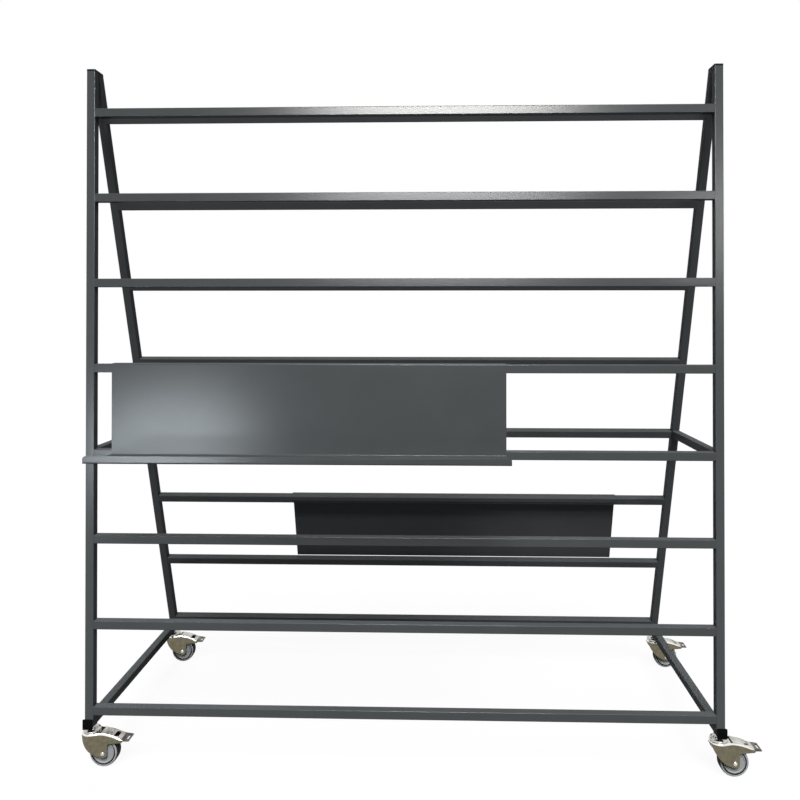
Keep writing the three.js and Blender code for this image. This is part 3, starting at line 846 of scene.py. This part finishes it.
class CART_OT_brake_pedals(bpy.types.Operator):
    """Brake pedals: a channel between the fork's wings, a foot pad with a slot, and the pin"""

    bl_idname = "cart.brake_pedals"
    bl_label = "Brake pedals"

    # Millimetres from the swivel axis on the floor; a corner is (along, up, rounding).
    lever = ((34, 89.5, 0), (43, 85.6, 3), (55, 85.6, 6), (100.5, 76.6, 0), (117, 76.6, 1.5),
             (117, 80.6, 1.5), (100.5, 82.6, 6), (55, 96, 14), (34, 101.5, 2))
    hollow = ((36.5, 60, 0), (98, 60, 0), (98, 80.2, 0), (55, 93.2, 12), (36.5, 98.2, 0))
    pad = ((100.5, 76.6, 1), (117, 76.6, 1.5), (117, 80.6, 1.5), (100.5, 82.6, 1))
    lever_width, hollow_width, pad_width = 36.2, 31.2, 38
    # Slots: (start, end, half width).
    window, toe = (70, 83, 13), (106, 112, 12)
    slot_low, slot_high, slot_corner = 60 * MM, 120 * MM, 2.4 * MM
    pin_radius, pin_half = 2.5, 20.9
    pin_place = (43 * MM, 0, 89.6 * MM)
    # Faces past this point take the darker pad plating.
    worn_from = 84 * MM

    def slot(self, start, end, half):
        """Upright cutter for a slot with rounded corners."""
        low, high = self.slot_low, self.slot_high
        tool = block((start * MM, -half * MM, low), (end * MM, half * MM, high))
        round_edges(tool, upright_edges(tool, (high - low) / 2), self.slot_corner, segments=4)
        return tool

    def execute(self, context):
        radius, half = self.pin_radius, self.pin_half
        pin = spun([(0, -half), (radius, -half), (radius, half), (0, half)], "Y", edge=0.3, steps=24)
        moved(pin, Matrix.Translation(self.pin_place))
        pedal = joined(prism(self.lever, self.lever_width), [
            ("DIFFERENCE", prism(self.hollow, self.hollow_width)),
            ("UNION", prism(self.pad, self.pad_width)),
            ("DIFFERENCE", self.slot(*self.window)),
            ("DIFFERENCE", self.slot(*self.toe)),
            ("ROUND", 0.6, 2),
            ("UNION", pin),
        ])
        for face in pedal.faces:
            face.material_index = int(face.calc_center_median().x > self.worn_from)
        finish = [bright_plate(), worn_pad()]
        caster_pieces(pedal, "brake_pedal", finish, "{}_brake")
        return {"FINISHED"}


class CART_OT_stage(bpy.types.Operator):
    """Pale floor, soft lamps, white surroundings and the camera"""

    bl_idname = "cart.stage"
    bl_label = "Stage"

    floor_reach, floor_gap = 30, 0.2 * MM
    floor_colour, floor_bounce = (0.8, 0.8, 0.8, 1), (0.09, 0.09, 0.09, 1)
    # Share of plain white in the floor that the camera sees; the rest takes the cart's shadow.
    floor_white = 0.93
    ambient = 0.08
    sun_spread = math.radians(32)
    # Suns: name, place, target, strength; the side fills stand to the left and right of the cart.
    front_sun = ("front", (0.2, -3.9, 5.8), (0, -0.3, 1.0), 4.25)
    back_sun = ("back", (-0.8, 5.0, 3.2), (0, 0, 1.0), 2.6)
    fill_across, fill_strength = 5.0, 1.6
    # Soft boxes: name, place, target, (width, height), watts, colour.
    sheens = (
        ("window", (-1.99, -3.76, 0.4), (-0.76, -0.3, 0.97), (1.15, 0.62), 235, (0.86, 0.95, 1.0)),
        ("lamp", (0.05, -5.0, 3.3), (0.05, -0.3, 1.92), (2.4, 0.9), 1700, (1.0, 0.985, 0.96)),
        ("low lamp", (0.05, -5.0, 2.35), (0.05, -0.3, 1.65), (2.4, 1.4), 690, (0.97, 0.99, 1.0)),
        ("side lamp", (2.56, -5.0, 2.2), (0.86, -0.3, 1.6), (0.8, 1.1), 150, (1.0, 1.0, 0.98)),
    )
    # Camera: lens in millimetres, place from the posts' middle, their front face and the floor in metres.
    sensor, lens, shift = 36, 33.715, (-0.02983, -0.11267)
    aside, stand_off, eye_height = 0.12351, 2.16712, 1.32371
    tilt, pan = 0.00735, 0.02697

    def white_for_camera(self, tree):
        """Light Path value that is 1 for what the camera sees directly, in gloss or through glass."""
        path = tree.nodes.new("ShaderNodeLightPath")
        seen = path.outputs["Is Camera Ray"]
        for name in ("Is Glossy Ray", "Is Transmission Ray"):
            either = tree.nodes.new("ShaderNodeMath")
            either.operation = "MAXIMUM"
            tree.links.new(seen, either.inputs[0])
            tree.links.new(path.outputs[name], either.inputs[1])
            seen = either.outputs[0]
        return seen

    def floor(self):
        """Floor that is near white to the camera and a dull grey to the light that bounces off it."""
        bm = bmesh.new()
        bmesh.ops.create_grid(bm, x_segments=1, y_segments=1, size=self.floor_reach)
        bmesh.ops.translate(bm, vec=(0, 0, -self.floor_gap), verts=bm.verts)
        ground = bpy.data.objects.new("floor", to_mesh(bm, "floor"))
        bpy.context.scene.collection.objects.link(ground)
        material = bpy.data.materials.new("pale_floor")
        material.use_nodes = True
        tree = material.node_tree
        shader = tree.nodes["Principled BSDF"]
        shader.inputs["Base Color"].default_value = self.floor_colour
        shader.inputs["Roughness"].default_value = 0.9
        shader.inputs["Specular IOR Level"].default_value = 0.0
        glow = tree.nodes.new("ShaderNodeEmission")
        seen = tree.nodes.new("ShaderNodeMixShader")
        seen.inputs["Fac"].default_value = self.floor_white
        tree.links.new(shader.outputs["BSDF"], seen.inputs[1])
        tree.links.new(glow.outputs["Emission"], seen.inputs[2])
        bounce = tree.nodes.new("ShaderNodeBsdfDiffuse")
        bounce.inputs["Color"].default_value = self.floor_bounce
        mix = tree.nodes.new("ShaderNodeMixShader")
        tree.links.new(self.white_for_camera(tree), mix.inputs["Fac"])
        tree.links.new(bounce.outputs["BSDF"], mix.inputs[1])
        tree.links.new(seen.outputs["Shader"], mix.inputs[2])
        tree.links.new(mix.outputs["Shader"], tree.nodes["Material Output"].inputs["Surface"])
        ground.data.materials.append(material)

    def world(self):
        """Surroundings that are white to the camera and light the cart a little from all sides."""
        world = bpy.data.worlds.new("white_room")
        bpy.context.scene.world = world
        world.use_nodes = True
        tree = world.node_tree
        sky = tree.nodes["Background"]
        sky.inputs["Color"].default_value = (1, 1, 1, 1)
        level = tree.nodes.new("ShaderNodeMapRange")
        level.inputs["To Min"].default_value = self.ambient
        level.inputs["To Max"].default_value = 1.0
        tree.links.new(self.white_for_camera(tree), level.inputs["Value"])
        tree.links.new(level.outputs["Result"], sky.inputs["Strength"])

    def aimed(self, light, place, target):
        """Puts a light in the scene, pointing at a target."""
        lamp = bpy.data.objects.new(light.name, light)
        lamp.location = place
        lamp.rotation_euler = (Vector(target) - Vector(place)).to_track_quat("-Z", "Y").to_euler()
        bpy.context.scene.collection.objects.link(lamp)
        return lamp

    def only_on(self, lamp, *starts):
        """Keeps a lamp's light to the pieces whose names start with one of the words."""
        group = bpy.data.collections.new(f"lit by {lamp.name}")
        for piece in bpy.data.objects:
            if piece.name.startswith(starts) and piece.name.endswith(("_piece", "_bolts")):
                group.objects.link(piece)
        lamp.light_linking.receiver_collection = group

    def daylight(self, name, place, target, strength):
        """Broad, even and soft light from one side."""
        light = bpy.data.lights.new(name, "SUN")
        light.energy = strength
        light.angle = self.sun_spread
        return self.aimed(light, place, target)

    def sheen(self, name, place, target, size, watts, colour):
        """Soft box that shows only as a sheen on the coat of the front face."""
        light = bpy.data.lights.new(name, "AREA")
        light.shape = "ELLIPSE"
        light.size, light.size_y = size
        light.energy = watts
        light.color = colour
        light.use_shadow = False
        lamp = self.aimed(light, place, target)
        lamp.visible_diffuse = False
        self.only_on(lamp, "front_bar", "front_ledge", "left_post", "right_post")

    def side_fill(self, side, across):
        """Soft light on the outside of one side frame."""
        lamp = self.daylight(f"{side} fill", (across, -0.6, 2.2), (0, 0, 1.0), self.fill_strength)
        lamp.visible_glossy = False
        bolts = [f"{face}_bar_{number}_bolts" for face in ("front", "rear") for number in BAR_NUMBERS]
        self.only_on(lamp, f"{side}_", *bolts)

    def camera(self):
        data = bpy.data.cameras.new("camera")
        data.sensor_width = self.sensor
        data.lens = self.lens
        data.shift_x, data.shift_y = self.shift
        camera = bpy.data.objects.new("camera", data)
        cart_middle = (middle("left_post").x + middle("right_post").x) / 2
        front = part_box("left_post")[0].y
        camera.location = (cart_middle + self.aside, front - self.stand_off, self.eye_height)
        camera.rotation_euler = (math.pi / 2 + self.tilt, 0, self.pan)
        bpy.context.scene.collection.objects.link(camera)
        bpy.context.scene.camera = camera

    def execute(self, context):
        context.scene.view_settings.view_transform = "Standard"
        self.floor()
        self.world()
        self.daylight(*self.front_sun)
        self.daylight(*self.back_sun).visible_glossy = False
        self.side_fill("left", -self.fill_across)
        self.side_fill("right", self.fill_across)
        for sheen in self.sheens:
            self.sheen(*sheen)
        self.camera()
        return {"FINISHED"}


class CART_PT_pieces(bpy.types.Panel):
    """Lists the cart's pieces"""

    bl_idname = "CART_PT_pieces"
    bl_label = "Sheet goods cart"
    bl_space_type = "VIEW_3D"
    bl_region_type = "UI"
    bl_category = "Cart"

    def draw(self, context):
        for operator in OPERATORS:
            self.layout.operator(operator.bl_idname)
        for group in (context.scene.cart_sizes, context.scene.cart_finishes):
            for name in group.__annotations__:
                self.layout.prop(group, name)


OPERATORS = (
    CART_OT_side_frames, CART_OT_cross_bars, CART_OT_bar_bolts, CART_OT_end_caps, CART_OT_ledges,
    CART_OT_swivel_heads, CART_OT_forks, CART_OT_wheels, CART_OT_axle_bolts, CART_OT_brake_pedals,
    CART_OT_stage,
)
CLASSES = (CartSizes, CartFinishes, *OPERATORS, CART_PT_pieces)


def register():
    for each in CLASSES:
        bpy.utils.register_class(each)
    bpy.types.Scene.cart_sizes = bpy.props.PointerProperty(type=CartSizes)
    bpy.types.Scene.cart_finishes = bpy.props.PointerProperty(type=CartFinishes)


def unregister():
    del bpy.types.Scene.cart_finishes
    del bpy.types.Scene.cart_sizes
    for each in reversed(CLASSES):
        bpy.utils.unregister_class(each)


def main():
    register()
    bpy.ops.cart.side_frames()
    bpy.ops.cart.cross_bars()
    bpy.ops.cart.bar_bolts()
    bpy.ops.cart.end_caps()
    bpy.ops.cart.ledges()
    bpy.ops.cart.swivel_heads()
    bpy.ops.cart.forks()
    bpy.ops.cart.wheels()
    bpy.ops.cart.axle_bolts()
    bpy.ops.cart.brake_pedals()
    bpy.ops.cart.stage()


if __name__ == "__main__":
    main()
